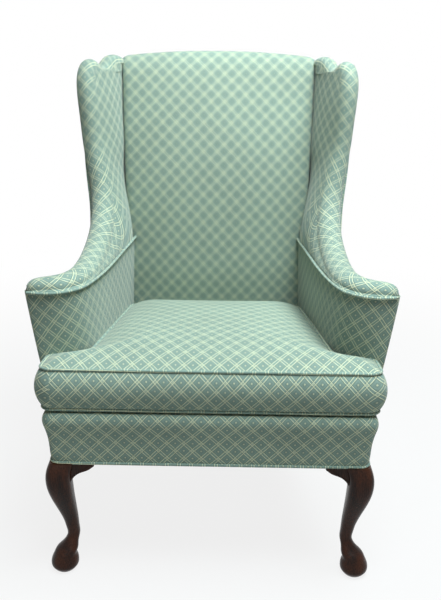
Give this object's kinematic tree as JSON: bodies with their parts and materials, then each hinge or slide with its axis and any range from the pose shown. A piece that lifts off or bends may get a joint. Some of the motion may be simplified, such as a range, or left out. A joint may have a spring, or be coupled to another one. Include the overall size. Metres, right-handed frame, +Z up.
{
  "type": "wing armchair",
  "caption": "Upholstered wing armchair with scrolled arms, a loose T-shaped seat cushion, a padded front border and carved wooden cabriole front legs.",
  "frame": {"origin": "on the floor, at the centre of the whole chair's box seen from above", "axes": "+Z up, the chair faces -Y, +X is to the right of someone looking at its front"},
  "size_m": [0.7876, 0.7613, 1.0957],
  "materials": {
    "lattice_fabric": "woven diamond lattice in cream over muted sage blue",
    "welt_fabric": "piping in the same woven cloth",
    "mahogany": "very dark red brown, glossy",
    "frame_timber": "bare sawn hardwood",
    "webbing": "jute",
    "dust_cloth": "thin black non-woven cloth",
    "deck_cloth": "plain lining cloth",
    "foam": "open cell foam, matt",
    "zip_tape": "woven tape",
    "zip_metal": "satin"
  },
  "bodies": {
    "chair_frame": {"arm_board_left": "frame_timber", "arm_board_right": "frame_timber", "arm_post_left": "frame_timber", "arm_post_right": "frame_timber", "arm_tack_rail_left": "frame_timber", "arm_tack_rail_right": "frame_timber", "arm_top_left": "lattice_fabric", "arm_top_right": "lattice_fabric", "arm_welt_left": "welt_fabric", "arm_welt_right": "welt_fabric", "back_seat_rail": "frame_timber", "back_tack_rail": "frame_timber", "back_webbing": "webbing", "border_welt": "welt_fabric", "corner_blocks": "frame_timber", "crest_rail": "frame_timber", "deck_pad": "deck_cloth", "dust_cover": "dust_cloth", "front_border": "lattice_fabric", "front_leg_left": "mahogany", "front_leg_right": "mahogany", "front_seat_rail": "frame_timber", "inside_arm_left": "lattice_fabric", "inside_arm_right": "lattice_fabric", "inside_back": "lattice_fabric", "inside_wing_left": "lattice_fabric", "inside_wing_right": "lattice_fabric", "knee_blocks_left": "mahogany", "knee_blocks_right": "mahogany", "outside_arm_left": "lattice_fabric", "outside_arm_right": "lattice_fabric", "outside_back": "lattice_fabric", "outside_wing_left": "lattice_fabric", "outside_wing_right": "lattice_fabric", "rear_post_left": "mahogany", "rear_post_right": "mahogany", "seat_webbing": "webbing", "side_seat_rail_left": "frame_timber", "side_seat_rail_right": "frame_timber", "wing_post_left": "frame_timber", "wing_post_right": "frame_timber", "wing_top_rail_left": "frame_timber", "wing_top_rail_right": "frame_timber", "wing_welt_left": "welt_fabric", "wing_welt_right": "welt_fabric"},
    "seat_cushion": {"seat_cushion_cover": "lattice_fabric", "seat_cushion_core": "foam", "cushion_zip": "zip_tape", "cushion_welt_top": "welt_fabric", "cushion_welt_bottom": "welt_fabric"},
    "zip_slider": {"zip_slider": "zip_metal"}
  },
  "joints": [
    {"name": "cushion_lift_out", "type": "slide", "parent": "chair_frame", "child": "seat_cushion", "axis": [0, -0.9659, 0.2588], "range_m": [0, 0.65]},
    {"name": "zip_slider_run", "type": "slide", "parent": "seat_cushion", "child": "zip_slider", "axis": [1, 0, 0], "range_m": [0, 0.38]}
  ]
}
